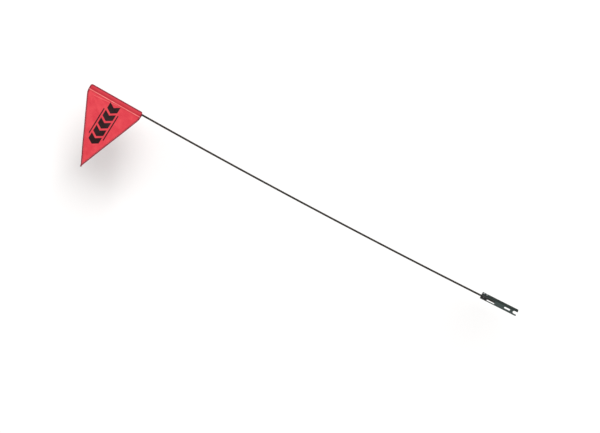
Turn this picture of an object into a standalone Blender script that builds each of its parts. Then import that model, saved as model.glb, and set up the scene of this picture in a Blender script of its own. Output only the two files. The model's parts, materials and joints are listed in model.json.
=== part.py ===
"""Safety pennant for a pedal kart: a glass-fibre whip pole in a slotted angle bracket, with a cloth pennant.

Metres, +Z up. The origin lies on the front face of the bracket's web, midway between its two slots.
The pole stands along +Z in its socket, the bracket's web faces -Y, and the pennant trails towards -X,
swivelled by PENNANT_YAW. Run it with: blender --background --python part.py
"""

import math

import bmesh
import bpy
from mathutils import Matrix, Vector

# Clearances
GAP = 0.0003  # between pieces that rest on each other
BORE_GAP = 0.00015  # radial, pole in its socket
FIXING_GAP = 0.0003  # radial, rivets and screw in their holes

# Steel angle bracket
SHEET = 0.002
WEB_WIDTH = 0.0185
FLANGE_DEPTH = 0.012
BEND_RADIUS = 0.003  # outer
BRACKET_LENGTH = 0.1228
AXLE_SLOT_WIDTH = 0.0105
AXLE_SLOT_DEPTH = 0.0141
SLOT_OFFSET = 0.0005  # both slots stand this far towards the flange
BRIDGE = 0.009  # web left between the two slots
BOLT_SLOT_WIDTH = 0.0066
BOLT_SLOT_LENGTH = 0.0207
MID_WEB = 0.0309  # plain web between the bolt slot and the window
WINDOW_LEFT = -0.0065
WINDOW_RIGHT = 0.0044
STOP_TAB_WIDTH = 0.007
STOP_TAB_DEPTH = 0.0075

# Plastic socket block
SOCKET_RADIUS = 0.0082
SOCKET_LENGTH = 0.0208
SOCKET_FLAT_GAP = 0.00035  # from the flat on the block to the flange
GROOVE_DEPTH = 0.0006
GROOVE_WIDTH = 0.0013
LOWER_GROOVES = (0.0026, 0.0053)  # from the block's lower end
UPPER_GROOVE = 0.0021  # from the block's upper end
SPOT_FACE_DEPTH = 0.00075
SPOT_FACE_RADIUS = 0.0046

# Fixings
RIVET_RADIUS = 0.0012
RIVET_HEAD_RADIUS = 0.0023
RIVET_HEAD_HEIGHT = 0.001
RIVET_BITE = 0.0028  # how far a rivet reaches past the flange into the block
RIVET_SPACING = 0.0104
RIVET_BACK = 0.0054  # from the web's front face
SCREW_RADIUS = 0.002
SCREW_HEAD_RADIUS = 0.0039
SCREW_HEAD_HEIGHT = 0.0024
SCREW_HEIGHT = 0.0124  # from the block's lower end
RECESS_WIDTH = 0.0009
RECESS_LENGTH = 0.0044
RECESS_DEPTH = 0.0014
NUT_WIDTH = 0.007
NUT_THICKNESS = 0.002
NUT_SKIN = 0.0006  # plastic left between the nut's pocket and the bore

# Whip pole
POLE_RADIUS = 0.003
POLE_LENGTH = 1.4
POLE_BEHIND_FACE = 0.00275  # pole's axis behind the web's front face
BOW_RADIUS = 25.6  # the pole's slight set, above its straight foot
STRAIGHT_FOOT = 0.05
POLE_SPANS = 24
CAP_WALL = 0.0006
CAP_LENGTH = 0.016
CAP_TOP = 0.0012  # thickness of the cap's end

# Pennant
PENNANT_YAW = math.radians(30)
HOIST = 0.184
FLY = 0.2395  # hoist fold to tip
TIP_HEIGHT = 0.0872  # up from the mouth
SLEEVE_CLOTH = 0.0006
SLEEVE_EASE = 0.0007  # inside the sleeve, round the cap
SLEEVE_THICKNESS = 2 * (POLE_RADIUS + GAP + CAP_WALL + SLEEVE_EASE + SLEEVE_CLOTH)
SLEEVE_WIDTH = 2 * POLE_RADIUS + 0.01
SLEEVE_CORNER = 0.007
SLEEVE_PINCH = 0.014  # length over which the closed end flattens
SLEEVE_CLOSURE = 0.010
SLEEVE_POINTS = 14  # along each half of its section
MOUTH_SLANT = 0.0045
POLE_FROM_FOLD = SLEEVE_WIDTH / 2
SEAM_FLANGE = 0.0016  # beyond the sleeve, where the stitching runs
SEAM_THICKNESS = 0.0014
PANEL_THICKNESS = 0.0008
PANEL_SHOULDER = 0.026  # distance from the fold at which the free edges leave the hoist corners
THREAD_RADIUS = 0.00025
BARTACK_LENGTH = 0.008
BARTACK_WIDTH = 0.0012
HEM_INSET = 0.0025

# Derived heights, along +Z from the origin
BRACKET_FOOT = -(AXLE_SLOT_DEPTH + BRIDGE / 2)
BOLT_SLOT_FOOT = BRIDGE / 2
WINDOW_FOOT = BOLT_SLOT_FOOT + BOLT_SLOT_LENGTH + MID_WEB
BRACKET_TOP = BRACKET_FOOT + BRACKET_LENGTH
SOCKET_FOOT = BRACKET_TOP - SOCKET_LENGTH
POLE_FOOT = WINDOW_FOOT + SHEET + GAP
SCREW_Z = SOCKET_FOOT + SCREW_HEIGHT

PARTS = None
CUTTERS = None


# ---------------------------------------------------------------- helpers


def clear_scene():
    """Empties the scene and makes the two collections."""
    global PARTS, CUTTERS
    for old in list(bpy.data.objects):
        bpy.data.objects.remove(old)
    PARTS = bpy.data.collections.new("safety_pennant")
    CUTTERS = bpy.data.collections.new("cutters")
    for collection in (PARTS, CUTTERS):
        bpy.context.scene.collection.children.link(collection)


def material(name, colour, roughness, metallic=0.0):
    made = bpy.data.materials.new(name)
    made.use_nodes = True
    shader = made.node_tree.nodes["Principled BSDF"]
    shader.inputs["Base Color"].default_value = (*colour, 1)
    shader.inputs["Roughness"].default_value = roughness
    shader.inputs["Metallic"].default_value = metallic
    return made


def add(name, data, finish=None, parent=None, cutter=False, matrix=None):
    """Adds an object to the model, or to the cutters."""
    made = bpy.data.objects.new(name, data)
    (CUTTERS if cutter else PARTS).objects.link(made)
    if finish:
        data.materials.append(finish)
    if matrix is not None:
        made.matrix_world = matrix
    if parent:
        made.parent = parent
    if cutter:
        made.hide_render = True
        made.display_type = "WIRE"
    return made


def mesh_from(work, name):
    """Turns a bmesh into a mesh with its faces pointing out."""
    bmesh.ops.recalc_face_normals(work, faces=work.faces)
    made = bpy.data.meshes.new(name)
    work.to_mesh(made)
    work.free()
    made.shade_smooth()
    made.set_sharp_from_angle(angle=math.radians(30))
    return made


def box(name, low, high):
    work = bmesh.new()
    bmesh.ops.create_cube(work, size=1)
    low, high = Vector(low), Vector(high)
    bmesh.ops.scale(work, vec=high - low, verts=work.verts)
    bmesh.ops.translate(work, vec=(low + high) / 2, verts=work.verts)
    return mesh_from(work, name)


def rod(name, start, end, radius, sides=32, end_radius=None):
    """A cylinder, or a cone, between two points."""
    start, end = Vector(start), Vector(end)
    along = end - start
    place = Matrix.Translation((start + end) / 2) @ along.to_track_quat("Z", "Y").to_matrix().to_4x4()
    work = bmesh.new()
    bmesh.ops.create_cone(
        work,
        cap_ends=True,
        segments=sides,
        radius1=radius,
        radius2=radius if end_radius is None else end_radius,
        depth=along.length,
        matrix=place,
    )
    return mesh_from(work, name)


def plate(name, outline, low, high):
    """A flat outline in X and Z, from one Y to another, filled by a 2D curve."""
    curve = bpy.data.curves.new(name, "CURVE")
    curve.dimensions = "2D"
    curve.fill_mode = "BOTH"
    curve.extrude = (high - low) / 2
    spline = curve.splines.new("POLY")
    spline.points.add(len(outline) - 1)
    for point, (x, z) in zip(spline.points, outline):
        point.co = (x, z, 0, 1)
    spline.use_cyclic_u = True
    standing = Matrix.Translation((0, (low + high) / 2, 0)) @ Matrix.Rotation(math.pi / 2, 4, "X")
    return welded(curve, standing)


def welded(curve, matrix):
    """A curve as a closed mesh, moved by the matrix."""
    shape = bpy.data.objects.new("curve", curve)
    bpy.context.scene.collection.objects.link(shape)
    bpy.context.view_layer.update()
    found = bpy.data.meshes.new_from_object(shape.evaluated_get(bpy.context.evaluated_depsgraph_get()))
    bpy.data.objects.remove(shape)
    found.transform(matrix)
    work = bmesh.new()
    work.from_mesh(found)
    bmesh.ops.remove_doubles(work, verts=work.verts, dist=1e-6)
    return mesh_from(work, found.name)


def tube(name, points, radius, finish, parent=None, resolution=2):
    """A wire or rod along a list of points."""
    curve = bpy.data.curves.new(name, "CURVE")
    curve.dimensions = "3D"
    curve.bevel_depth = radius
    curve.bevel_resolution = resolution
    curve.use_fill_caps = True
    spline = curve.splines.new("POLY")
    spline.points.add(len(points) - 1)
    for point, place in zip(spline.points, points):
        point.co = (*place, 1)
    return add(name, curve, finish, parent)


def turned(name, profile, steps=32):
    """A solid of revolution about Z, from a profile of (radius, z) that starts and ends on the axis."""
    work = bmesh.new()
    points = [work.verts.new((radius, 0, z)) for radius, z in profile]
    for first, second in zip(points, points[1:]):
        work.edges.new((first, second))
    bmesh.ops.spin(
        work,
        geom=list(work.verts) + list(work.edges),
        axis=(0, 0, 1),
        cent=(0, 0, 0),
        steps=steps,
        angle=math.tau,
    )
    bmesh.ops.remove_doubles(work, verts=work.verts, dist=1e-6)
    bmesh.ops.dissolve_verts(work, verts=[v for v in work.verts if mid_disc(v)])
    return mesh_from(work, name)


def mid_disc(vertex):
    """Whether a vertex is the middle of a flat end, on the axis."""
    on_axis = abs(vertex.co.x) < 1e-6 and abs(vertex.co.y) < 1e-6
    return on_axis and all(abs(e.other_vert(vertex).co.z - vertex.co.z) < 1e-6 for e in vertex.link_edges)


def combine(obj, operation, *others):
    """Booleans: DIFFERENCE cuts the others out of the object, UNION joins them to it."""
    for other in others:
        step = obj.modifiers.new(other.name, "BOOLEAN")
        step.operation = operation
        step.object = other
        step.solver = "EXACT"


def helper(name, data, parent=None):
    return add(name, data, parent=parent, cutter=True)


def arc(centre, radius, start, end, steps):
    """Points along an arc, angles in degrees."""
    angles = [math.radians(start + (end - start) * i / steps) for i in range(steps + 1)]
    return [(centre[0] + radius * math.cos(a), centre[1] + radius * math.sin(a)) for a in angles]


# ---------------------------------------------------------------- bracket


def angle_section():
    """The outer line of the bent sheet, from the web's free edge round the bend to the flange's edge."""
    half = WEB_WIDTH / 2
    centre = (half - BEND_RADIUS, BEND_RADIUS)
    return [(-half, 0), *arc(centre, BEND_RADIUS, -90, 0, 6), (half, FLANGE_DEPTH)]


def angle_sheet():
    """The bent sheet before its slots are cut: the outer surface, thickened inwards by Solidify."""
    work = bmesh.new()
    line = [work.verts.new((x, y, BRACKET_FOOT)) for x, y in angle_section()]
    edges = [work.edges.new(pair) for pair in zip(line, line[1:])]
    risen = bmesh.ops.extrude_edge_only(work, edges=edges)["geom"]
    top = [v for v in risen if isinstance(v, bmesh.types.BMVert)]
    bmesh.ops.translate(work, vec=(0, 0, BRACKET_LENGTH), verts=top)
    made = bpy.data.meshes.new("mounting_bracket")
    work.to_mesh(made)
    work.free()
    return made


def axle_slot_outline():
    """Open at the bracket's foot, round at its inner end."""
    radius = AXLE_SLOT_WIDTH / 2
    top = BRACKET_FOOT + AXLE_SLOT_DEPTH - radius
    below = BRACKET_FOOT - SHEET
    left, right = SLOT_OFFSET - radius, SLOT_OFFSET + radius
    return [(left, below), (right, below), *arc((SLOT_OFFSET, top), radius, 0, 180, 16)]


def bolt_slot_outline():
    radius = BOLT_SLOT_WIDTH / 2
    low = BOLT_SLOT_FOOT + radius
    high = BOLT_SLOT_FOOT + BOLT_SLOT_LENGTH - radius
    x = SLOT_OFFSET
    return [*arc((x, low), radius, 180, 360, 14), *arc((x, high), radius, 0, 180, 14)]


def window_outline():
    """The long slot, open at the top, that takes the socket block and leaves a window below it."""
    above = BRACKET_TOP + SHEET
    return [
        (WINDOW_LEFT, WINDOW_FOOT),
        (WINDOW_RIGHT, WINDOW_FOOT),
        (WINDOW_RIGHT, above),
        (WINDOW_LEFT, above),
    ]


def rivet_heights():
    middle = SOCKET_FOOT + SOCKET_LENGTH / 2
    return [middle - RIVET_SPACING / 2, middle + RIVET_SPACING / 2]


def mounting_bracket(finish):
    bracket = add("mounting_bracket", angle_sheet(), finish)
    wall = bracket.modifiers.new("sheet", "SOLIDIFY")
    wall.thickness = SHEET
    wall.offset = 1
    wall.use_even_offset = True
    front, back = -SHEET, 2 * SHEET
    for name, outline in (
        ("axle_slot", axle_slot_outline()),
        ("bolt_slot", bolt_slot_outline()),
        ("window", window_outline()),
    ):
        combine(bracket, "DIFFERENCE", helper(name, plate(name, outline, front, back)))
    for index, z in enumerate(rivet_heights()):
        hole = rod(
            "rivet_hole",
            (WEB_WIDTH / 2 - 2 * SHEET, RIVET_BACK, z),
            (WEB_WIDTH / 2 + SHEET, RIVET_BACK, z),
            RIVET_RADIUS + FIXING_GAP,
            24,
        )
        combine(bracket, "DIFFERENCE", helper(f"flange_rivet_hole_{index}", hole))
    half = STOP_TAB_WIDTH / 2
    tab = box("stop_tab", (-half, 0, WINDOW_FOOT - SHEET / 2), (half, STOP_TAB_DEPTH, WINDOW_FOOT + SHEET))
    combine(bracket, "UNION", helper("stop_tab", tab))
    return bracket


def socket_profile():
    """The block's ribbed outside as a turned profile, from its lower end up."""
    chamfer = 0.0006
    inner = SOCKET_RADIUS - GROOVE_DEPTH
    line = [(0, 0), (SOCKET_RADIUS - chamfer, 0), (SOCKET_RADIUS, chamfer)]
    for height in (*LOWER_GROOVES, SOCKET_LENGTH - UPPER_GROOVE):
        line += [
            (SOCKET_RADIUS, height - GROOVE_WIDTH / 2),
            (inner, height - GROOVE_WIDTH / 4),
            (inner, height + GROOVE_WIDTH / 4),
            (SOCKET_RADIUS, height + GROOVE_WIDTH / 2),
        ]
    line += [(SOCKET_RADIUS, SOCKET_LENGTH - chamfer), (SOCKET_RADIUS - chamfer, SOCKET_LENGTH)]
    return [*line, (0, SOCKET_LENGTH)]


def spot_face():
    """Y of the flat on the block's front that the screw's head seats on."""
    return POLE_BEHIND_FACE - SOCKET_RADIUS + SPOT_FACE_DEPTH


def nut_pocket():
    """(front, back) Y of the slot that holds the nut, in front of the bore."""
    back = POLE_BEHIND_FACE - POLE_RADIUS - BORE_GAP - NUT_SKIN
    return back - NUT_THICKNESS - 2 * GAP, back


def socket_block(finish):
    place = Matrix.Translation((0, POLE_BEHIND_FACE, SOCKET_FOOT))
    barrel = turned("socket_block", socket_profile(), 42)
    barrel.transform(place)
    block = add("socket_block", barrel, finish)
    low, high = SOCKET_FOOT - SHEET, BRACKET_TOP + SHEET
    far = 2 * SOCKET_RADIUS
    flat = WEB_WIDTH / 2 - SHEET - SOCKET_FLAT_GAP
    pocket_front, pocket_back = nut_pocket()
    pocket_half = NUT_WIDTH / 2 + GAP
    cutters = {
        "flange_flat": box("flat", (flat, -far, low), (far, far, high)),
        "left_groove": box("groove", (-far, -GAP, low), (WINDOW_LEFT + GAP, SHEET + GAP, high)),
        "right_groove": box("groove", (WINDOW_RIGHT - GAP, -GAP, low), (far, BEND_RADIUS + 2 * GAP, high)),
        "pole_bore": rod(
            "bore", (0, POLE_BEHIND_FACE, low), (0, POLE_BEHIND_FACE, high), POLE_RADIUS + BORE_GAP, 46
        ),
        "nut_slot": box(
            "slot", (-pocket_half, pocket_front, SCREW_Z - pocket_half), (pocket_half, pocket_back, high)
        ),
        "spot_face": rod("spot", (0, -far, SCREW_Z), (0, spot_face(), SCREW_Z), SPOT_FACE_RADIUS, 32),
        "screw_hole": rod("hole", (0, -far, SCREW_Z), (0, 0, SCREW_Z), SCREW_RADIUS + FIXING_GAP, 24),
    }
    reach = flat - RIVET_BITE
    for index, z in enumerate(rivet_heights()):
        hole = rod("hole", (reach, RIVET_BACK, z), (far, RIVET_BACK, z), RIVET_RADIUS + FIXING_GAP, 24)
        cutters[f"block_rivet_hole_{index}"] = hole
    for name, data in cutters.items():
        combine(block, "DIFFERENCE", helper(name, data))
    return block


def socket_rivets(finish):
    """Two dome-headed rivets, through the flange and into the block."""
    outer = WEB_WIDTH / 2 + GAP
    inner = WEB_WIDTH / 2 - SHEET - SOCKET_FLAT_GAP - RIVET_BITE + GAP
    rise = RIVET_HEAD_HEIGHT
    profile = [(0, inner), (RIVET_RADIUS, inner), (RIVET_RADIUS, outer), (RIVET_HEAD_RADIUS, outer)]
    profile += [
        (RIVET_HEAD_RADIUS * math.cos(a), outer + rise * math.sin(a))
        for a in (math.radians(15 * step) for step in range(1, 6))
    ]
    profile.append((0, outer + rise))
    for name, z in zip(("lower_rivet", "upper_rivet"), rivet_heights()):
        rivet = turned(name, profile, 24)
        rivet.transform(Matrix.Translation((0, RIVET_BACK, z)) @ Matrix.Rotation(math.pi / 2, 4, "Y"))
        add(name, rivet, finish)


def clamp_nut(finish):
    front, back = nut_pocket()
    half = NUT_WIDTH / 2
    blank = box("clamp_nut", (-half, front + GAP, SCREW_Z - half), (half, back - GAP, SCREW_Z + half))
    nut = add("clamp_nut", blank, finish)
    hole = rod("nut_hole", (0, 2 * front, SCREW_Z), (0, 0, SCREW_Z), SCREW_RADIUS + FIXING_GAP, 24)
    combine(nut, "DIFFERENCE", helper("nut_hole", hole))
    return nut


def clamp_screw(finish):
    """Pan-head screw whose end bears on the pole. It turns about its own axis, along Y."""
    seat = spot_face() - GAP
    end = POLE_BEHIND_FACE - POLE_RADIUS - GAP
    crown = seat - SCREW_HEAD_HEIGHT
    lead = SCREW_RADIUS / 4
    profile = [(0, -end), (SCREW_RADIUS - lead, -end), (SCREW_RADIUS, -end + lead), (SCREW_RADIUS, -seat)]
    rim = -seat + SCREW_HEAD_HEIGHT * 0.45
    profile += [(SCREW_HEAD_RADIUS, -seat), (SCREW_HEAD_RADIUS, rim)]
    profile += [
        (SCREW_HEAD_RADIUS * (0.45 + 0.55 * math.cos(a)), rim + SCREW_HEAD_HEIGHT * 0.55 * math.sin(a))
        for a in (math.radians(step * 22.5) for step in range(1, 5))
    ]
    profile.append((0, -crown))
    blank = turned("clamp_screw", profile, 32)
    blank.transform(Matrix.Rotation(math.pi / 2, 4, "X"))
    screw = add("clamp_screw", blank, finish)
    screw.location = (0, 0, SCREW_Z)
    for name, wide, tall in (
        ("recess_across", RECESS_LENGTH / 2, RECESS_WIDTH / 2),
        ("recess_upright", RECESS_WIDTH / 2, RECESS_LENGTH / 2),
    ):
        cut = box(name, (-wide, crown - GAP, -tall), (wide, crown + RECESS_DEPTH, tall))
        tool = helper(name, cut)
        tool.location = screw.location
        combine(screw, "DIFFERENCE", tool)
    return screw


# ---------------------------------------------------------------- pole


def pole_place(travel):
    """(point, tilt) of the pole's axis at a distance from its foot, in the plane of its bow."""
    beyond = max(0.0, travel - STRAIGHT_FOOT)
    tilt = beyond / BOW_RADIUS
    rise = min(travel, STRAIGHT_FOOT) + BOW_RADIUS * math.sin(tilt)
    return Vector((BOW_RADIUS * (1 - math.cos(tilt)), 0, POLE_FOOT + rise)), tilt


def whip_frame():
    """An empty on the pole's axis, turned so that the bow and the pennant lie in its XZ plane."""
    frame = bpy.data.objects.new("whip_frame", None)
    PARTS.objects.link(frame)
    frame.location = (0, POLE_BEHIND_FACE, 0)
    frame.rotation_euler = (0, 0, PENNANT_YAW)
    return frame


def pole(finish, frame):
    """A round glass-fibre rod, straight in its socket and bowed away from the pennant above it."""
    stops = [0.0] + [
        STRAIGHT_FOOT + (POLE_LENGTH - STRAIGHT_FOOT) * i / POLE_SPANS for i in range(POLE_SPANS + 1)
    ]
    return tube("pole", [pole_place(s)[0] for s in stops], POLE_RADIUS, finish, frame, 10)


def tip_cap(finish, frame):
    """Soft cap pushed over the pole's end, with a round top."""
    inner = POLE_RADIUS + GAP
    outer = inner + CAP_WALL
    dome = [
        (outer * math.cos(a), CAP_LENGTH - CAP_TOP - outer / 2 + (outer / 2 + CAP_TOP) * math.sin(a))
        for a in (math.radians(18 * step) for step in range(1, 5))
    ]
    profile = [(inner, 0), (outer, 0), (outer, CAP_LENGTH - CAP_TOP - outer / 2), *dome, (0, CAP_LENGTH)]
    inside = CAP_LENGTH - CAP_TOP
    profile += [(0, inside), (inner, inside), (inner, 0)]
    cap = add("tip_cap", turned("tip_cap", profile, 32), finish, frame)
    top, tilt = pole_place(POLE_LENGTH)
    along = Vector((math.sin(tilt), 0, math.cos(tilt)))
    cap.location = top - along * (inside - GAP)
    cap.rotation_euler = (0, tilt, 0)
    return cap


# ---------------------------------------------------------------- pennant


def mouth_travel():
    """Distance from the pole's foot to the sleeve's mouth."""
    cap_end = POLE_LENGTH + GAP + CAP_TOP
    return cap_end + GAP + SLEEVE_CLOSURE - HOIST


def hoist_frame(parent):
    """An empty on the pole's axis at the mouth, with Z up the sleeve and -X towards the tip."""
    middle, tilt = pole_place(mouth_travel() + HOIST / 2)
    along = Vector((math.sin(tilt), 0, math.cos(tilt)))
    frame = bpy.data.objects.new("hoist_frame", None)
    PARTS.objects.link(frame)
    frame.location = middle - along * HOIST / 2
    frame.rotation_euler = (0, tilt, 0)
    frame.parent = parent
    return frame


def sleeve_outline(height, inset=0.0):
    """The sleeve's lens-shaped section: widest at the pole, thin at its fold, drawn in at its closed end."""
    corner = max(0.0, height - (HOIST - SLEEVE_CORNER))
    drawn_in = SLEEVE_CORNER - math.sqrt(SLEEVE_CORNER**2 - corner**2)
    pinch = max(0.0, height - (HOIST - SLEEVE_PINCH)) / SLEEVE_PINCH
    flat = SEAM_THICKNESS / SLEEVE_THICKNESS
    fullness = flat + (1 - flat) * math.sqrt(max(0.0, 1 - pinch**2))
    fold = POLE_FROM_FOLD - drawn_in - inset * 1.2
    seam = POLE_FROM_FOLD - SLEEVE_WIDTH + inset * 1.2
    half_width, middle = (fold - seam) / 2, (fold + seam) / 2
    half_thick = SLEEVE_THICKNESS / 2 * fullness - inset
    count = SLEEVE_POINTS
    angles = [math.pi * i / count for i in range(1, count)]
    return (fold, seam), [
        (middle + half_width * math.cos(a), half_thick * math.sin(a) ** 2) for a in angles
    ]


def outer_ring(height):
    """Round the outside, with the flat flange that the seam is sewn through."""
    (fold, seam), side = sleeve_outline(height)
    half = SEAM_THICKNESS / 2
    middle = (fold + seam) / 2
    side = [(x, max(y, half) if x < middle else y) for x, y in side]
    side += [(seam, half), (seam - SEAM_FLANGE, half)]
    return [(fold, 0), *side, *((x, -y) for x, y in reversed(side))]


def inner_ring(height):
    (fold, seam), side = sleeve_outline(height, SLEEVE_CLOTH)
    return [(fold, 0), *side, (seam, 0), *((x, -y) for x, y in reversed(side))]


def mouth_height(x):
    """The mouth is cut away towards the fold."""
    return MOUTH_SLANT * max(0.0, x) / POLE_FROM_FOLD


def skin(work, ring, heights):
    """Faces through the rings at a list of heights; returns the first and last ring of vertices."""
    rings = []
    for index, height in enumerate(heights):
        lift = mouth_height if index == 0 else (lambda x: 0.0)
        rings.append([work.verts.new((x, y, height + lift(x))) for x, y in ring(height)])
    count = len(rings[0])
    for low, high in zip(rings, rings[1:]):
        for i in range(count):
            j = (i + 1) % count
            work.faces.new((low[i], low[j], high[j], high[i]))
    return rings[0], rings[-1]


def sleeve_heights(end):
    """One long straight stretch, then closer sections where the closed end flattens."""
    start = HOIST - SLEEVE_PINCH
    steps = 7
    return [0.0, *(start + (end - start) * math.sin(math.pi / 2 * i / steps) for i in range(steps + 1))]


def hoist_sleeve(finish, frame):
    """The tube of cloth round the pole: open at its mouth, sewn shut at the top, with a seam flange."""
    work = bmesh.new()
    outer_mouth, outer_top = skin(work, outer_ring, sleeve_heights(HOIST - 0.00005))
    inner_mouth, inner_top = skin(work, inner_ring, sleeve_heights(HOIST - SLEEVE_CLOSURE))
    work.faces.new(outer_top)
    work.faces.new(inner_top)
    rims = []
    for mouth in (outer_mouth, inner_mouth):
        rims += [work.edges.get(pair) for pair in zip(mouth, mouth[1:] + mouth[:1])]
    bmesh.ops.triangle_fill(work, use_beauty=True, use_dissolve=False, edges=rims, normal=(0, 0, -1))
    return add("hoist_sleeve", mesh_from(work, "hoist_sleeve"), finish, frame)


def panel_edge():
    """X of the panel's hoist edge, where it meets the seam flange."""
    return POLE_FROM_FOLD - SLEEVE_WIDTH - SEAM_FLANGE - GAP


def panel_corners():
    """The panel's outline in the hoist frame: hoist edge, two short shoulders and the tip."""
    edge = panel_edge()
    shoulder = POLE_FROM_FOLD - PANEL_SHOULDER
    tip = POLE_FROM_FOLD - FLY
    drop = 0.001
    return [(edge, 0), (edge, HOIST), (shoulder, HOIST - drop), (tip, TIP_HEIGHT), (shoulder, drop)]


def pennant_panel(finish, frame):
    half = PANEL_THICKNESS / 2
    return add("pennant_panel", plate("pennant_panel", panel_corners(), -half, half), finish, frame)


def seam_threads(finish, frame):
    """One row of stitching down each face of the seam flange, between the bartacks."""
    x = POLE_FROM_FOLD - SLEEVE_WIDTH - SEAM_FLANGE / 2
    y = SEAM_THICKNESS / 2 + GAP + THREAD_RADIUS
    ends = (BARTACK_LENGTH + 0.004, HOIST - BARTACK_LENGTH - 0.004)
    for name, side in (("seam_thread_front", -1), ("seam_thread_back", 1)):
        tube(name, [(x, side * y, h) for h in ends], THREAD_RADIUS, finish, frame)


def bartacks(name, low, finish, frame):
    """A short block of dense stitches on each face of the seam flange."""
    x = POLE_FROM_FOLD - SLEEVE_WIDTH - SEAM_FLANGE / 2
    near = SEAM_THICKNESS / 2 + GAP
    far = near + 2 * THREAD_RADIUS
    half = BARTACK_WIDTH / 2
    for side, low_y, high_y in (("front", -far, -near), ("back", near, far)):
        block = box(name, (x - half, low_y, low), (x + half, high_y, low + BARTACK_LENGTH))
        add(f"{name}_{side}", block, finish, frame)


def hem_threads(name, start, end, inward, finish, frame):
    """A row of stitching along a free edge, on each face of the panel."""
    start, end = Vector(start), Vector(end)
    along = (end - start).normalized()
    inset = Vector((along.y, -along.x)) * inward * HEM_INSET
    first, last = start + inset + along * 0.004, end + inset - along * 0.012
    y = PANEL_THICKNESS / 2 + GAP + THREAD_RADIUS
    for side, depth in (("front", -y), ("back", y)):
        thread = rod(name, (first.x, depth, first.y), (last.x, depth, last.y), THREAD_RADIUS, 8)
        add(f"{name}_{side}", thread, finish, frame)


def main():
    clear_scene()
    green_steel = material("green_steel", (0.045, 0.066, 0.060), 0.42, 0.2)
    black_plastic = material("black_plastic", (0.022, 0.021, 0.020), 0.5)
    zinc = material("zinc", (0.55, 0.56, 0.57), 0.32, 1.0)
    black_steel = material("black_steel", (0.07, 0.07, 0.072), 0.38, 0.9)
    fibre = material("glass_fibre", (0.045, 0.038, 0.033), 0.38)
    vinyl = material("cap_vinyl", (0.03, 0.03, 0.03), 0.5)
    cloth = material("red_cloth", (0.64, 0.050, 0.068), 0.6)
    thread = material("red_thread", (0.75, 0.12, 0.13), 0.7)

    mounting_bracket(green_steel)
    socket_block(black_plastic)
    socket_rivets(zinc)
    clamp_nut(zinc)
    clamp_screw(black_steel)

    whip = whip_frame()
    pole(fibre, whip)
    tip_cap(vinyl, whip)

    hoist = hoist_frame(whip)
    hoist_sleeve(cloth, hoist)
    pennant_panel(cloth, hoist)
    seam_threads(thread, hoist)
    bartacks("mouth_bartack", 0.002, thread, hoist)
    bartacks("top_bartack", HOIST - BARTACK_LENGTH - 0.002, thread, hoist)
    corners = panel_corners()
    hem_threads("upper_hem", corners[2], corners[3], -1, thread, hoist)
    hem_threads("lower_hem", corners[4], corners[3], 1, thread, hoist)


main()
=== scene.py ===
"""Looks for the safety pennant: cloth, stitching, whip pole and bracket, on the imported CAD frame."""

import json
import math

import bmesh
import bpy
from mathutils import Matrix, Vector, noise


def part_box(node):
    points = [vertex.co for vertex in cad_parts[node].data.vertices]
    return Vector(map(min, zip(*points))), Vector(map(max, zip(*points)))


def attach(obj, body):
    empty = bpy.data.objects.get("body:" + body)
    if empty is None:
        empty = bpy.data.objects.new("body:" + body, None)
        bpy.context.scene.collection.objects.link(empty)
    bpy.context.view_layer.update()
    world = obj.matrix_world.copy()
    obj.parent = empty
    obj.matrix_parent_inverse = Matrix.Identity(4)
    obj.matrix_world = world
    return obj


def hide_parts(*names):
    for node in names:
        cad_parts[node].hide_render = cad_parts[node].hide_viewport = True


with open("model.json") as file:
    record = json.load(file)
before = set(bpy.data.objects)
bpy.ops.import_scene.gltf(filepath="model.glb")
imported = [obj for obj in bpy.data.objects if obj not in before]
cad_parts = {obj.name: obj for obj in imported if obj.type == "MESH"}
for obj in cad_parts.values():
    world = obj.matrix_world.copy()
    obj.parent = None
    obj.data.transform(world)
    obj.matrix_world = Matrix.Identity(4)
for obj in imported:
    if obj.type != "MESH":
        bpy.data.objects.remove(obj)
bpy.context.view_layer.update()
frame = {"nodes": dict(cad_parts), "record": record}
JOINTS = {joint["name"]: joint for joint in frame["record"]["behaviour"]["joints"]}

# ------------------------------------------------------------------ sizes, metres
# Along the fly, all distances are from the sleeve's fold
HOIST = 0.184
FLY = 0.2395
TIP_HEIGHT = 0.0872  # the tip above the hoist's lower end
POLE_IN = 0.008  # the pole's axis
SLEEVE = 0.016  # the seam
LAP = 0.0045  # the sleeve's free edge beyond the seam, on the front
SHOULDER = 0.026  # where the free edges leave the hoist's corners
SHOULDER_EASE = 0.0030  # how softly they leave them
TIP_BLUNT = 0.0046  # least height of the panel
CORNER = 0.007  # radius of the top corner
MOUTH_CUT = 0.0045  # how far the mouth is cut back at the fold
CLOTH = 0.00022
POLE_R = 0.003
CAP_R = 0.0039
SLEEVE_ROOM = 0.0003  # between the sleeve and what it holds

THREAD = 0.00026  # radius
STITCH = 0.0031
STITCH_STEP = 0.0036
SEAM_LINE = SLEEVE + 0.0009
SEAM_ENDS_IN = 0.0105
BARTACK = 0.008
HEM_INSET = 0.0030

FLANGE_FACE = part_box("mounting_bracket")[1].x
FLANGE_BEND = (0.0034, 0.0016)  # behind that face, where the web's colour gives way to the painted shade on the flange

SWIVEL = JOINTS["pennant_swivel"]
POLE_UP = Vector(SWIVEL["axis"]).normalized()
YAW = math.atan2(POLE_UP.y, POLE_UP.x)
FLAT_RIGHT = Vector((math.cos(YAW), math.sin(YAW), 0))
LOOK = Vector((-math.sin(YAW), math.cos(YAW), 0))


# ------------------------------------------------------------------ camera and stage
PHOTO_ROLL = math.radians(26.72)  # the pole lies this far above level, pointing left
VIEW_WIDTH = 1.8456  # of the picture, at the object
FOOT_ACROSS, FOOT_UP = 0.3619, -0.1609  # of the bracket's foot from the middle, in view widths
CAMERA_AWAY = 5.0
STAGE_BEHIND = 0.26


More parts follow.
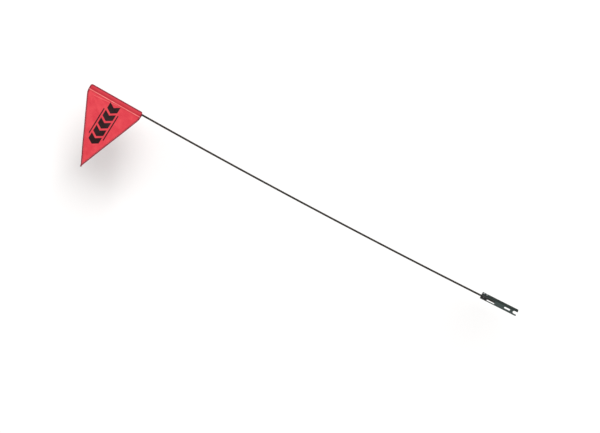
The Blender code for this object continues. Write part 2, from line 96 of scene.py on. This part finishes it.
def photo_axes():
    """(right, up) of the picture in the row frame."""
    side, rise = math.sin(PHOTO_ROLL), math.cos(PHOTO_ROLL)
    up = Vector((0, 0, 1))
    return side * FLAT_RIGHT - rise * up, rise * FLAT_RIGHT + side * up


def view_centre():
    """The point in the middle of the picture, from where the bracket's foot stands in it."""
    right, up = photo_axes()
    low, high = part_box("mounting_bracket")
    middle = (low.x * math.cos(YAW) + high.x * math.cos(YAW) + high.y * math.sin(YAW)) / 2
    foot = FLAT_RIGHT * middle + Vector((0, 0, low.z))
    return foot - right * (FOOT_ACROSS * VIEW_WIDTH) - up * (FOOT_UP * VIEW_WIDTH)


def make_camera():
    right, up = photo_axes()
    data = bpy.data.cameras.new("camera")
    data.sensor_width = 36
    data.lens = 36 * CAMERA_AWAY / VIEW_WIDTH
    data.clip_end = 50
    camera = bpy.data.objects.new("camera", data)
    bpy.context.scene.collection.objects.link(camera)
    place = Matrix((right, up, -LOOK)).transposed().to_4x4()
    place.translation = view_centre() - LOOK * CAMERA_AWAY
    camera.matrix_world = place
    bpy.context.scene.camera = camera


def make_stage():
    """The pale paper that the object lies above. Its back is clear, for views from behind."""
    right, up = photo_axes()
    work = bmesh.new()
    bmesh.ops.create_grid(work, x_segments=1, y_segments=1, size=2.6)
    mesh = bpy.data.meshes.new("pale_floor")
    work.to_mesh(mesh)
    work.free()
    floor = bpy.data.objects.new("pale_floor", mesh)
    bpy.context.scene.collection.objects.link(floor)
    place = Matrix((right, up, -LOOK)).transposed().to_4x4()
    place.translation = view_centre() + LOOK * STAGE_BEHIND
    floor.matrix_world = place
    paper = bpy.data.materials.new("pale_paper")
    paper.use_nodes = True
    tree = paper.node_tree
    shader = tree.nodes["Principled BSDF"]
    shader.inputs["Base Color"].default_value = (0.90, 0.895, 0.89, 1)
    shader.inputs["Roughness"].default_value = 0.9
    shader.inputs["Specular IOR Level"].default_value = 0.1
    clear = tree.nodes.new("ShaderNodeBsdfTransparent")
    sides = tree.nodes.new("ShaderNodeNewGeometry")
    mix = tree.nodes.new("ShaderNodeMixShader")
    output = tree.nodes["Material Output"]
    tree.links.new(sides.outputs["Backfacing"], mix.inputs[0])
    tree.links.new(shader.outputs[0], mix.inputs[1])
    tree.links.new(clear.outputs[0], mix.inputs[2])
    tree.links.new(mix.outputs[0], output.inputs[0])
    mesh.materials.append(paper)


def key_light(offset, strength, spread):
    """A wide soft light, even over the picture: offset is right, up and towards the camera."""
    right, up = photo_axes()
    data = bpy.data.lights.new("key", "SUN")
    data.energy = strength
    data.angle = math.radians(spread)
    light = bpy.data.objects.new("key", data)
    bpy.context.scene.collection.objects.link(light)
    towards = (right * offset[0] + up * offset[1] - LOOK * offset[2]).normalized()
    light.location = view_centre() + towards * 3
    light.rotation_euler = (-towards).to_track_quat("-Z", "Y").to_euler()


def make_light():
    world = bpy.data.worlds.new("studio")
    bpy.context.scene.world = world
    world.use_nodes = True
    back = world.node_tree.nodes["Background"]
    back.inputs["Color"].default_value = (1.0, 0.995, 0.99, 1)
    back.inputs["Strength"].default_value = 0.46
    key_light(offset=(0.40, 0.96, 2.3), strength=2.45, spread=42)
    bpy.context.scene.view_settings.view_transform = "Standard"


make_camera()
make_stage()
make_light()


# ------------------------------------------------------------------ material helpers
class Paint:
    """A Principled material with helpers that add and link nodes."""

    def __init__(self, name, colour, roughness, metallic=0.0, **uniform):
        self.material = bpy.data.materials.new(name)
        self.material.use_nodes = True
        self.tree = self.material.node_tree
        self.shader = self.tree.nodes["Principled BSDF"]
        self.shader.inputs["Base Color"].default_value = (*colour, 1)
        self.shader.inputs["Roughness"].default_value = roughness
        self.shader.inputs["Metallic"].default_value = metallic
        for key, value in uniform.items():
            self.shader.inputs[key.replace("_", " ")].default_value = value

    def node(self, kind, inputs=(), **settings):
        made = self.tree.nodes.new("ShaderNode" + kind)
        for key, value in settings.items():
            setattr(made, key, value)
        for key, value in dict(inputs).items():
            self.set(made.inputs[key], value)
        return made

    def set(self, socket, value):
        if isinstance(value, bpy.types.NodeSocket):
            self.tree.links.new(value, socket)
        else:
            socket.default_value = value

    def math(self, operation, first, second=0.0):
        return self.node("Math", {0: first, 1: second}, operation=operation).outputs[0]

    def times(self, first, second):
        return self.math("MULTIPLY", first, second)

    def mapped(self, value, low, high, to_low=0.0, to_high=1.0):
        """A value mapped from one range to another, smoothly and within its ends."""
        inputs = {0: value, 1: low, 2: high, 3: to_low, 4: to_high}
        return self.node("MapRange", inputs, interpolation_type="SMOOTHSTEP").outputs[0]

    def within(self, value, low, high, soft=0.0003):
        """1 between two values and 0 outside them."""
        starts = self.mapped(value, low - soft, low + soft)
        return self.times(starts, self.mapped(value, high - soft, high + soft, 1.0, 0.0))

    def mix(self, factor, first, second):
        made = self.node("Mix", data_type="RGBA")
        self.set(made.inputs[0], factor)
        self.set(made.inputs[6], first)
        self.set(made.inputs[7], second)
        return made.outputs[2]

    def tint(self, base, mask, share, colour):
        """The base with a colour laid over it, no stronger than the share, where the mask is 1."""
        return self.mix(self.times(mask, share), base, (*colour, 1))

    def noise(self, vector, scale, detail=3.0, roughness=0.55):
        inputs = {"Vector": vector, "Scale": scale, "Detail": detail, "Roughness": roughness}
        return self.node("TexNoise", inputs).outputs[0]

    def stretched(self, vector, scale):
        return self.node("Mapping", {"Vector": vector, "Scale": scale}).outputs[0]

    def place(self):
        return self.node("TexCoord").outputs["Object"]

    def bump(self, height, distance, strength=1.0, normal=None):
        made = self.node("Bump", {"Height": height, "Distance": distance, "Strength": strength})
        if normal is not None:
            self.set(made.inputs["Normal"], normal)
        return made.outputs[0]

    def colour(self, value):
        self.set(self.shader.inputs["Base Color"], value)

    def rough(self, value):
        self.set(self.shader.inputs["Roughness"], value)

    def normal(self, value):
        self.set(self.shader.inputs["Normal"], value)


def painted_steel():
    """Dark green enamel on steel, with painted shade on the flange: orange peel, rubbed patches, fine
    scratches.
    """
    paint = Paint("green_enamel", (0.050, 0.072, 0.066), 0.5, Specular_IOR_Level=0.2)
    place = paint.place()
    peel = paint.noise(place, 900, 2)
    cloudy = paint.noise(place, 55, 4)
    scratch = paint.noise(paint.stretched(place, (2600, 2600, 55)), 1, 2, 0.7)
    scored = paint.mapped(scratch, 0.66, 0.74)
    base = paint.mix(cloudy, (0.043, 0.060, 0.056, 1), (0.078, 0.100, 0.095, 1))
    base = paint.tint(base, scored, 0.35, (0.20, 0.22, 0.215))
    side = paint.node("SeparateXYZ", {0: place}).outputs[0]
    # Painted shade: the flange's outer face and its bend are coloured darker than the web
    flange = paint.mapped(side, *(FLANGE_FACE - depth for depth in FLANGE_BEND))
    flange_painted_shade = paint.mix(cloudy, (0.005, 0.011, 0.009, 1), (0.012, 0.021, 0.018, 1))
    paint.colour(paint.mix(flange, base, flange_painted_shade))
    paint.rough(paint.mapped(cloudy, 0.3, 0.7, 0.42, 0.60))
    low = paint.bump(peel, 0.00004, 0.5)
    paint.normal(paint.bump(scored, 0.00003, 0.4, low))
    return paint.material


def moulded_plastic():
    paint = Paint("moulded_black", (0.016, 0.015, 0.015), 0.46, Specular_IOR_Level=0.3)
    place = paint.place()
    grain = paint.noise(place, 2400, 3)
    cloudy = paint.noise(place, 90, 3)
    paint.colour(paint.mix(cloudy, (0.011, 0.010, 0.010, 1), (0.024, 0.023, 0.022, 1)))
    paint.rough(paint.mapped(cloudy, 0.3, 0.7, 0.38, 0.56))
    paint.normal(paint.bump(grain, 0.00003, 0.7))
    return paint.material


def zinc_plate(name="zinc_plate", dark=(0.44, 0.45, 0.47, 1), light=(0.72, 0.73, 0.75, 1)):
    paint = Paint(name, (0.62, 0.63, 0.65), 0.32, 1.0)
    place = paint.place()
    spangle = paint.noise(place, 700, 4)
    turned = paint.noise(paint.stretched(place, (300, 4000, 300)), 1, 2)
    paint.colour(paint.mix(spangle, dark, light))
    paint.rough(paint.mapped(spangle, 0.3, 0.7, 0.24, 0.42))
    paint.normal(paint.bump(turned, 0.00002, 0.5))
    return paint.material


def fibre_rod():
    """Pultruded glass fibre: dark resin with fine streaks along the rod."""
    paint = Paint("glass_fibre", (0.03, 0.025, 0.021), 0.42, Specular_IOR_Level=0.12)
    place = paint.place()
    streaks = paint.noise(paint.stretched(place, (2300, 2300, 14)), 1, 5, 0.6)
    fibres = paint.noise(paint.stretched(place, (6000, 6000, 26)), 1, 2, 0.5)
    cloudy = paint.noise(paint.stretched(place, (40, 40, 9)), 1, 3)
    dark = paint.mix(cloudy, (0.012, 0.010, 0.008, 1), (0.020, 0.016, 0.013, 1))
    light = paint.mix(cloudy, (0.034, 0.028, 0.022, 1), (0.054, 0.043, 0.036, 1))
    paint.colour(paint.mix(paint.mapped(streaks, 0.40, 0.68), dark, light))
    paint.rough(paint.mapped(fibres, 0.3, 0.7, 0.30, 0.48))
    paint.normal(paint.bump(fibres, 0.00004, 0.6))
    return paint.material


def cap_vinyl():
    paint = Paint("cap_vinyl", (0.025, 0.025, 0.026), 0.5)
    place = paint.place()
    grain = paint.noise(place, 1500, 3)
    paint.colour(paint.mix(grain, (0.018, 0.018, 0.019, 1), (0.036, 0.036, 0.037, 1)))
    paint.normal(paint.bump(grain, 0.00004, 0.5))
    return paint.material


def thread_paint():
    """Light red polyester thread, two plies twisted."""
    paint = Paint("red_thread", (0.86, 0.20, 0.22), 0.5, Sheen_Weight=0.3)
    place = paint.place()
    ply = paint.noise(place, 2600, 2)
    paint.colour(paint.mix(ply, (0.80, 0.14, 0.16, 1), (0.98, 0.36, 0.38, 1)))
    paint.normal(paint.bump(ply, 0.00005, 0.8))
    return paint.material


# ------------------------------------------------------------------ hard pieces
def link(name, mesh, body, slot, *nodes):
    """A piece that rides a body and stands for nodes, which it hides; the slot is not used."""
    piece = bpy.data.objects.new(name, mesh)
    bpy.context.scene.collection.objects.link(piece)
    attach(piece, body)
    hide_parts(*nodes)
    return piece


def refined(node, name, body, slot, paint, edge, join=True):
    """A node's own shape: flat faces joined, curves smooth and edges slightly rounded."""
    turn = math.radians(40)
    mesh = frame["nodes"][node].data.copy()
    mesh.name = name
    work = bmesh.new()
    work.from_mesh(mesh)
    bmesh.ops.remove_doubles(work, verts=work.verts, dist=2e-6)
    if join:
        flat = math.radians(1.0)
        bmesh.ops.dissolve_limit(work, angle_limit=flat, verts=work.verts, edges=work.edges)
    bmesh.ops.recalc_face_normals(work, faces=work.faces)
    work.to_mesh(mesh)
    work.free()
    mesh.shade_smooth()
    mesh.set_sharp_from_angle(angle=turn)
    mesh.materials.clear()
    mesh.materials.append(paint)
    piece = link(name, mesh, body, slot, node)
    if edge:
        bevel = piece.modifiers.new("edge", "BEVEL")
        bevel.width = edge
        bevel.segments = 2
        bevel.limit_method = "ANGLE"
        bevel.angle_limit = turn
        bevel.harden_normals = True
        bevel.use_clamp_overlap = True
    return piece


enamel = painted_steel()
plastic = moulded_plastic()
plate = zinc_plate()
black_oxide = zinc_plate("black_oxide", (0.045, 0.045, 0.048, 1), (0.11, 0.108, 0.106, 1))
refined("mounting_bracket", "bracket_steel", "bracket", "green_steel", enamel, 0.00035)
refined("socket_block", "socket_moulding", "bracket", "black_plastic", plastic, 0.00012)
refined("lower_rivet", "lower_rivet_metal", "bracket", "zinc", plate, 0)
refined("upper_rivet", "upper_rivet_metal", "bracket", "zinc", plate, 0)
refined("clamp_nut", "clamp_nut_metal", "bracket", "zinc", plate, 0.00025)
refined("clamp_screw", "clamp_screw_metal", "screw", "dark_screw", black_oxide, 0.00012)
refined("pole", "whip_rod", "whip", "glass_fibre", fibre_rod(), 0.0003, join=False)
refined("tip_cap", "tip_cap_vinyl", "whip", "cap_vinyl", cap_vinyl(), 0.00015)


# ------------------------------------------------------------------ pennant
def hoist_matrix():
    """From the pennant's axes to the row frame: away from the tip, away from the viewer, up the hoist."""
    across = (FLAT_RIGHT - POLE_UP * FLAT_RIGHT.dot(POLE_UP)).normalized()
    back = POLE_UP.cross(across)
    place = Matrix((across, back, POLE_UP)).transposed().to_4x4()
    place.translation = Vector(SWIVEL["pos_m"]) - POLE_UP * HOIST / 2
    return place


HOIST_PLACE = hoist_matrix()


def smooth(value, low, high):
    t = min(1.0, max(0.0, (value - low) / (high - low)))
    return t * t * (3 - 2 * t)


def free_edges(run):
    """(lowest, highest) height of the panel at a distance from the fold."""
    if run <= SLEEVE:
        return 0.0, HOIST
    past = (run - SHOULDER) / SHOULDER_EASE
    eased = SHOULDER_EASE * (past if past > 30 else math.log1p(math.exp(past)))
    share = eased / (FLY - SHOULDER)
    low = TIP_HEIGHT * share
    high = HOIST + (TIP_HEIGHT - HOIST) * share
    if high - low < TIP_BLUNT:
        middle = (low + high) / 2
        return middle - TIP_BLUNT / 2, middle + TIP_BLUNT / 2
    return low, high


def pinches(run, height):
    """How far the cloth is pinched up: a crease beside the seam and three that fan from the top corner."""
    ridge = SLEEVE + 0.0042 + 0.0085 * smooth(height, 0.055, HOIST)
    pinched = 0.0016 * math.exp(-(((run - ridge) / 0.0017) ** 2)) * smooth(height, 0.035, 0.075)
    pinched *= 1 - smooth(height, HOIST - 0.022, HOIST - 0.008)
    for lean, reach, rise in ((0.35, 0.085, 0.0007), (0.85, 0.120, 0.0009), (1.7, 0.070, 0.0006)):
        down = HOIST - 0.006 - height
        aside = ((run - SLEEVE) - lean * down) / math.sqrt(1 + lean * lean)
        out = math.hypot(run - SLEEVE, down)
        fade = smooth(out, 0.012, 0.030) * (1 - smooth(out, reach * 0.6, reach))
        pinched += rise * math.exp(-((aside / (0.0016 + 0.03 * out)) ** 2)) * fade
    return pinched


def wave(run, height):
    """How far the cloth stands towards the back, in gentle folds that grow towards the tip."""
    t = height / HOIST
    folds = 0.0024 * math.sin(2 * math.pi * (t * 0.9 + run * 1.4 + 0.12))
    folds += 0.0012 * math.sin(2 * math.pi * (t * 2.1 - run * 5.2 + 0.40))
    lifted = 0.0035 * smooth(run, 0.16, FLY)
    crease = 0.0011 * noise.noise(Vector((run * 26, height * 30, 3.7))) - pinches(run, height)
    fine = 0.00035 * noise.noise(Vector((run * 75, height * 60, 9.1)))
    gather = 0.0005 * noise.noise(Vector((run * 35, height * 190, 1.3))) * (1 - smooth(run, 0.02, 0.055))
    sway = smooth(run, SLEEVE, 0.12) * (folds + lifted)
    creased = smooth(run, SLEEVE, 0.04) * (crease + fine)
    return sway + creased + gather * smooth(run, SLEEVE, 0.022)


def bulge(run, height, front):
    """Half the sleeve's thickness: round over the pole, drawn in at the sewn top."""
    t = run / SLEEVE
    if t >= 1:
        return 0.0
    closed = smooth(height, HOIST - 0.0115, HOIST - 0.001)
    blend = smooth(height, HOIST - 0.034, HOIST - 0.028)
    half = (POLE_R + SLEEVE_ROOM) * (1 - blend) + (CAP_R + SLEEVE_ROOM) * blend
    half *= 1 - 0.93 * closed
    shape = math.sin(math.pi * t) ** (0.80 if front else 0.72)
    slack = 0.00035 * noise.noise(Vector((run * 90, height * 26, 5.0 if front else 7.0)))
    return half * shape + slack * math.sin(math.pi * t) * (1 - 0.9 * closed)


def fold_in(height):
    """How far the fold stands in from its line, around the top corner."""
    corner = max(0.0, height - (HOIST - CORNER))
    return CORNER - math.sqrt(max(0.0, CORNER**2 - corner**2))


UNDER_LAP, FRONT, PANEL, FOLD, BACK = -2, -1, 0, 0.5, 1  # sides of the cloth's columns


def cloth_point(side, run, share):
    """A point of the sleeve's front or back, or else of the panel."""
    if run <= SLEEVE and side:
        mouth = MOUTH_CUT * (1 - min(1.0, run / POLE_IN))
        height = mouth + (HOIST - mouth) * share
        inset = fold_in(height)
        across = inset + run * (SLEEVE - inset) / SLEEVE
        return Vector((POLE_IN - across, side * bulge(run, height, side < 0), height))
    low, high = free_edges(run)
    height = low + (high - low) * share
    return Vector((POLE_IN - run, wave(run, height), height))


def edge_distance(run, height):
    """Distance from the panel's nearest free edge."""
    slope_high = (HOIST - TIP_HEIGHT) / (FLY - SHOULDER)
    slope_low = TIP_HEIGHT / (FLY - SHOULDER)
    low, high = free_edges(run)
    up = (high - height) / math.sqrt(1 + slope_high**2)
    down = (height - low) / math.sqrt(1 + slope_low**2)
    return min(up, down)


ROWS = 120  # up the hoist
SLEEVE_SPANS = 14  # over each side of the sleeve
PANEL_SPANS = 110


def cloth_columns():
    """(side, run) across the cloth: under the lap, over the front, round the fold, the back, the panel."""
    turns = [math.cos(math.pi * i / SLEEVE_SPANS) for i in range(SLEEVE_SPANS + 1)]
    columns = [(UNDER_LAP, SLEEVE + LAP * share) for share in (1, 0.66, 0.33)]
    columns += [(FRONT, SLEEVE * 0.5 * (1 + turn)) for turn in turns[:-1]]
    columns += [(FOLD, 0.0)]
    columns += [(BACK, SLEEVE * 0.5 * (1 - turn)) for turn in turns[1:]]
    columns += [(PANEL, SLEEVE + (FLY - SLEEVE) * (i / PANEL_SPANS)) for i in range(1, PANEL_SPANS + 1)]
    return columns


def column_point(side, run, share):
    """A point of a column. The sleeve's edges and the lap lie on the panel's two faces."""
    lapped = CLOTH * 1.6
    if side == UNDER_LAP:
        return cloth_point(PANEL, run, share) - Vector((0, lapped, 0))
    if side == FOLD:
        point = cloth_point(BACK, 0.0, share)
        point.y = 0.0
        return point
    if side != PANEL and run >= SLEEVE:
        return cloth_point(PANEL, SLEEVE, share) - Vector((0, lapped if side == FRONT else 0, 0))
    return cloth_point(side, run, share)


def make_cloth(front_paint, back_paint):
    """The sleeve and the panel as one folded cloth, mapped by its distances and by its hems."""
    work = bmesh.new()
    uv = work.loops.layers.uv.new("cloth")
    edges = work.loops.layers.uv.new("edges")
    grid = []
    facts = {}
    for side, run in cloth_columns():
        line = []
        for row in range(ROWS + 1):
            point = column_point(side, run, row / ROWS)
            vertex = work.verts.new(point)
            height = point.z
            if side in (PANEL, UNDER_LAP):
                near = edge_distance(run, height)
            else:
                near = min(height, HOIST - height, run + 0.0004)
            facts[vertex] = ((run, height), (max(0.0, near), run if side >= 0 else -run))
            line.append(vertex)
        grid.append(line)
    for left, right in zip(grid, grid[1:]):
        for row in range(ROWS):
            face = work.faces.new((left[row], left[row + 1], right[row + 1], right[row]))
            face.smooth = True
            for loop in face.loops:
                first, second = facts[loop.vert]
                loop[uv].uv = first
                loop[edges].uv = second
    mesh = bpy.data.meshes.new("pennant_cloth")
    work.to_mesh(mesh)
    work.free()
    mesh.transform(HOIST_PLACE)
    mesh.materials.append(front_paint)
    mesh.materials.append(back_paint)
    piece = link("pennant_cloth", mesh, "pennant", "red_cloth", "hoist_sleeve", "pennant_panel")
    wall = piece.modifiers.new("cloth", "SOLIDIFY")
    wall.thickness = CLOTH
    wall.offset = 0
    wall.material_offset = 1
    return piece


def cloth_red(paint, place, run, height):
    """The dyed cloth: faded patches, doubled cloth at the sleeve and hems, painted highlights along the
    seam and a fold line, painted shade along the edges.
    """
    slub = paint.noise(paint.stretched(place, (60, 2200, 1)), 1, 2)
    slub_across = paint.noise(paint.stretched(place, (2200, 60, 1)), 1, 2)
    threads = paint.math("ADD", slub, slub_across)
    cloudy = paint.noise(place, 32, 4)
    edge = paint.node("SeparateXYZ", {0: paint.node("UVMap", uv_map="edges").outputs[0]}).outputs[0]

    slubs = paint.mapped(threads, 0.75, 1.25)
    red = paint.mix(slubs, (0.61, 0.036, 0.054, 1), (0.70, 0.053, 0.074, 1))
    red = paint.tint(red, paint.mapped(cloudy, 0.38, 0.68), 0.55, (0.77, 0.082, 0.096))
    hem = paint.mapped(edge, 0.0054, 0.0060, 1.0, 0.0)
    red = paint.tint(red, hem, 0.42, (0.40, 0.022, 0.036))
    sleeve = paint.mapped(run, SLEEVE - 0.0012, SLEEVE - 0.0002, 1.0, 0.0)
    red = paint.tint(red, sleeve, 0.40, (0.46, 0.026, 0.042))
    # Painted highlights: a pale line along the seam, and another along a fold line that leans away from it
    seam_highlight = paint.within(run, SLEEVE, SLEEVE + 0.0023, 0.0004)
    seam_highlight = paint.times(seam_highlight, paint.mapped(paint.noise(place, 45, 2), 0.36, 0.62, 0.40, 1.0))
    red = paint.tint(red, seam_highlight, 0.90, (0.95, 0.31, 0.27))
    # Painted highlight along the crest of the fold
    fold_run = paint.mapped(height, 0.055, HOIST, SLEEVE + 0.0042, SLEEVE + 0.0127)
    beside = paint.math("ABSOLUTE", paint.math("SUBTRACT", run, fold_run))
    fold_highlight = paint.within(beside, -1, 0.0007, 0.0006)
    fold_highlight = paint.times(fold_highlight, paint.within(height, 0.075, HOIST - 0.026, 0.010))
    red = paint.tint(red, fold_highlight, 0.55, (0.92, 0.22, 0.20))
    # Painted shade: a dark outline along the free edges and the sleeve's fold
    painted_edge_shade = paint.mapped(edge, 0.0020, 0.0054, 1.0, 0.0)
    red = paint.tint(red, painted_edge_shade, 0.90, (0.17, 0.015, 0.028))
    return red, threads, cloudy


def printed_ink(paint, place, run, height):
    """Where the print is: a row of arrow-heads between two stripes, slightly worn."""
    middle = HOIST - 0.0985  # of the mark, up the hoist
    starts = 0.0315  # of its first arrow-head, from the fold
    half, pitch, heads = 0.0178, 0.0272, 5
    tilt = paint.math("ADD", height, paint.times(run, -math.tan(math.radians(2.1))))
    from_middle = paint.math("ABSOLUTE", paint.math("SUBTRACT", tilt, middle))
    along = paint.math("SUBTRACT", run, starts)

    swept = paint.math("ADD", along, paint.times(from_middle, 0.62))
    phase = paint.math("FRACT", paint.math("DIVIDE", swept, pitch))
    arrows = paint.times(paint.within(phase, 0.03, 0.77, 0.012), paint.within(swept, 0.0, pitch * heads))
    arrows = paint.times(arrows, paint.within(from_middle, -1, half))
    stripes = paint.times(paint.within(from_middle, 0.0228, 0.0262), paint.within(along, 0.016, 0.104))
    worn = paint.mapped(paint.noise(place, 1300, 3), 0.30, 0.42, 0.88, 1.0)
    return paint.times(paint.math("MAXIMUM", arrows, stripes), worn)


def cloth_paint(name, ink_strength):
    """Red nylon taffeta with its print: plain weave, slubs and soft creases."""
    paint = Paint(name, (0.65, 0.045, 0.065), 0.6, Specular_IOR_Level=0.10)
    place = paint.node("UVMap", uv_map="cloth").outputs[0]
    split = paint.node("SeparateXYZ", {0: place})
    run, height = split.outputs[0], split.outputs[1]
    red, threads, cloudy = cloth_red(paint, place, run, height)
    ink = paint.times(printed_ink(paint, place, run, height), ink_strength)
    paint.colour(paint.mix(ink, red, (0.005, 0.003, 0.004, 1)))
    dull = paint.mapped(cloudy, 0.3, 0.7, 0.50, 0.62)
    paint.rough(paint.math("SUBTRACT", dull, paint.times(ink, 0.12)))

    turns = math.tau / 0.00055  # of the weave, per metre
    warp = paint.math("SINE", paint.times(run, turns))
    weft = paint.math("SINE", paint.times(height, turns))
    crease = paint.noise(paint.stretched(place, (70, 110, 1)), 1, 4, 0.6)
    low = paint.bump(crease, 0.0012, 0.35)
    low = paint.bump(threads, 0.00008, 0.4, low)
    paint.normal(paint.bump(paint.times(warp, weft), 0.00005, 0.45, low))
    return paint.material


STITCH_SIDES = 6
STITCH_RINGS = (  # share of the length, then width and rise in radii
    (0.0, 0.35, -0.5),
    (0.12, 0.85, 0.35),
    (0.5, 1.0, 0.75),
    (0.88, 0.85, 0.35),
    (1.0, 0.35, -0.5),
)


def stitch_mesh(name, ends, radius, paint):
    """Short rounded stitches, each a bent capsule between two points that lie on the cloth."""
    work = bmesh.new()
    for start, end, out in ends:
        along = (end - start).normalized()
        across = along.cross(out)
        rings = []
        for share, width, rise in STITCH_RINGS:
            middle = start.lerp(end, share) + out * radius * rise
            ring = []
            for side in range(STITCH_SIDES):
                angle = math.tau * side / STITCH_SIDES
                spoke = across * math.cos(angle) + out * math.sin(angle)
                ring.append(work.verts.new(middle + spoke * radius * width))
            rings.append(ring)
        for low, high in zip(rings, rings[1:]):
            for i in range(STITCH_SIDES):
                j = (i + 1) % STITCH_SIDES
                work.faces.new((low[i], low[j], high[j], high[i])).smooth = True
        work.faces.new(list(reversed(rings[0])))
        work.faces.new(rings[-1])
    bmesh.ops.recalc_face_normals(work, faces=work.faces)
    mesh = bpy.data.meshes.new(name)
    work.to_mesh(mesh)
    work.free()
    mesh.transform(HOIST_PLACE)
    mesh.materials.append(paint)
    return mesh


def on_cloth(run, height, side):
    """A point on the panel's front (-1) or back (1) face."""
    lap = CLOTH * 1.6 if side < 0 and run <= SLEEVE + LAP else 0.0
    return Vector((POLE_IN - run, wave(run, height) + side * (CLOTH / 2 + THREAD * 0.4) - lap, height))


def laid(first, second, side):
    """A stitch between two (run, height) on one face: its ends and the way out of the cloth."""
    return on_cloth(*first, side), on_cloth(*second, side), Vector((0, side, 0))


def row_of_stitches(start, end, side):
    """Stitches along a straight line of (run, height). The back's lie between the front's."""
    start, end = Vector(start), Vector(end)
    length = (end - start).length
    along = (end - start) / length
    shift = 0 if side == FRONT else STITCH_STEP / 2
    starts = [start + along * (i * STITCH_STEP + shift) for i in range(int(length / STITCH_STEP))]
    return [laid(first, first + along * STITCH, side) for first in starts]


def bartack_rows(low, side):
    """A dense zigzag across the seam."""
    rows = []
    count = 17
    left, right = SLEEVE - 0.0002, SLEEVE + 0.0021
    for index in range(count):
        height = low + BARTACK * index / count
        first, second = (left, right) if index % 2 == 0 else (right, left)
        rows.append(laid((first, height), (second, height + BARTACK / count), side))
    return rows


def make_stitching(paint):
    seam_ends = ((SEAM_LINE, SEAM_ENDS_IN), (SEAM_LINE, HOIST - SEAM_ENDS_IN))
    shoulder_high = (SHOULDER + HEM_INSET, HOIST - HEM_INSET * 1.4)
    shoulder_low = (SHOULDER + HEM_INSET, HEM_INSET * 1.4)
    tip = (FLY - HEM_INSET * 3.5, TIP_HEIGHT)
    for side, word in ((FRONT, "front"), (BACK, "back")):
        rows = {
            f"seam_thread_{word}": row_of_stitches(*seam_ends, side),
            f"mouth_bartack_{word}": bartack_rows(0.002, side),
            f"top_bartack_{word}": bartack_rows(HOIST - 0.002 - BARTACK, side),
            f"upper_hem_{word}": row_of_stitches(shoulder_high, tip, side),
            f"lower_hem_{word}": row_of_stitches(shoulder_low, tip, side),
        }
        for node, stitches in rows.items():
            mesh = stitch_mesh(f"{node}_stitches", stitches, THREAD, paint)
            link(f"{node}_stitches", mesh, "pennant", "red_thread", node)


cloth = make_cloth(cloth_paint("printed_nylon", 0.985), cloth_paint("nylon_back", 0.55))
make_stitching(thread_paint())

bpy.context.view_layer.update()
